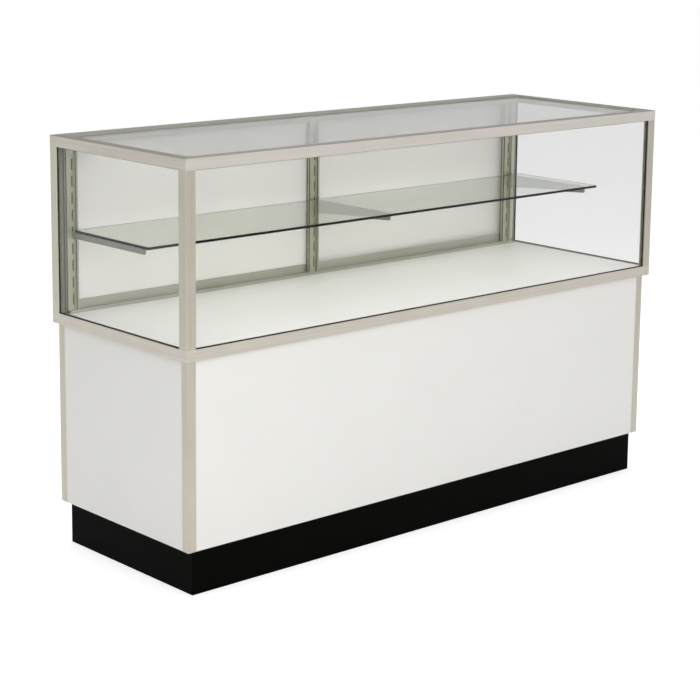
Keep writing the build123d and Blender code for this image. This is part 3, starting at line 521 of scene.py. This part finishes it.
def make_floor():
    """A wide pale floor, lifted to white for the eye, that keeps the object's shadow."""
    size = 30.0
    corners = [(-size, -size, 0), (size, -size, 0), (size, size, 0), (-size, size, 0)]
    mesh = bpy.data.meshes.new("floor")
    mesh.from_pydata(corners, [], [(0, 1, 2, 3)])
    floor = bpy.data.objects.new("floor", mesh)
    bpy.context.scene.collection.objects.link(floor)
    matt = {"Roughness": 0.9, "Specular_IOR_Level": 0.0}
    material, tree, shader, _ = start_finish("studio floor", "#E6E6E6", **matt)
    path = add(tree, "LightPath")
    seen = {0: seen_directly(tree, path), 1: path.outputs["Is Glossy Ray"]}
    seen = add(tree, "Math", seen, operation="MAXIMUM").outputs[0]
    lift = add(tree, "Math", {0: seen, 1: FLOOR_LIFT}, operation="MULTIPLY").outputs[0]
    glow = add(tree, "Emission", {"Color": linear("#FFFFFF"), "Strength": lift}).outputs[0]
    both = add(tree, "AddShader", {0: shader.outputs[0], 1: glow}).outputs[0]
    tree.links.new(both, tree.nodes["Material Output"].inputs["Surface"])
    mesh.materials.append(material)


def make_world():
    """White behind the object, a softer ceiling in its reflections and an even light on it."""
    world = bpy.data.worlds.new("studio")
    bpy.context.scene.world = world
    world.use_nodes = True
    tree = world.node_tree
    path = add(tree, "LightPath")
    way = add(tree, "TexCoord").outputs["Generated"]
    height = add(tree, "SeparateXYZ", {0: way}).outputs["Z"]
    ceiling = ramp(tree, height, 0.02, 0.14, 1.0, CEILING_LEVEL)
    mirrored = {0: path.outputs["Is Glossy Ray"], 2: ROOM_LEVEL, 3: ceiling}
    level = add(tree, "Mix", mirrored).outputs[0]
    level = add(tree, "Mix", {0: seen_directly(tree, path), 2: level, 3: 1.0}).outputs[0]
    background = tree.nodes["Background"]
    background.inputs["Color"].default_value = linear("#FFFFFF")
    tree.links.new(level, background.inputs["Strength"])


def soft_lamp(name, place, width, height, power):
    """An area lamp that faces the middle of the counter."""
    data = bpy.data.lights.new(name, "AREA")
    data.shape = "RECTANGLE"
    data.size = width
    data.size_y = height
    data.energy = power
    lamp = bpy.data.objects.new(name, data)
    lamp.location = place
    lamp.rotation_euler = (Vector(LAMP_AIM) - Vector(place)).to_track_quat("-Z", "Y").to_euler()
    bpy.context.scene.collection.objects.link(lamp)


def make_camera():
    """The camera of the photograph, from the corners of the counter in it."""
    ahead = Vector((math.sin(CAMERA_YAW), math.cos(CAMERA_YAW), 0))
    forward = ahead * math.cos(CAMERA_PITCH) + Vector((0, 0, math.sin(CAMERA_PITCH)))
    level = Vector((math.cos(CAMERA_YAW), -math.sin(CAMERA_YAW), 0))
    upright = level.cross(forward)
    right = level * math.cos(CAMERA_ROLL) + upright * math.sin(CAMERA_ROLL)
    up = upright * math.cos(CAMERA_ROLL) - level * math.sin(CAMERA_ROLL)
    data = bpy.data.cameras.new("camera")
    data.sensor_width = SENSOR
    data.lens = FOCAL_PIXELS / FRAME_PIXELS * SENSOR
    data.shift_y = -0.15
    camera = bpy.data.objects.new("camera", data)
    turn = Matrix((right, up, -forward)).transposed().to_4x4()
    camera.matrix_world = Matrix.Translation(CAMERA_PLACE) @ turn
    bpy.context.scene.collection.objects.link(camera)
    bpy.context.scene.camera = camera


make_floor()
make_world()
soft_lamp("front lamp", (-2.4, -3.8, 2.2), 3.0, 2.4, 85.0)
soft_lamp("top lamp", (0.2, 0.4, 4.2), 3.2, 2.6, 52.0)
make_camera()
bpy.context.scene.view_settings.view_transform = "Standard"

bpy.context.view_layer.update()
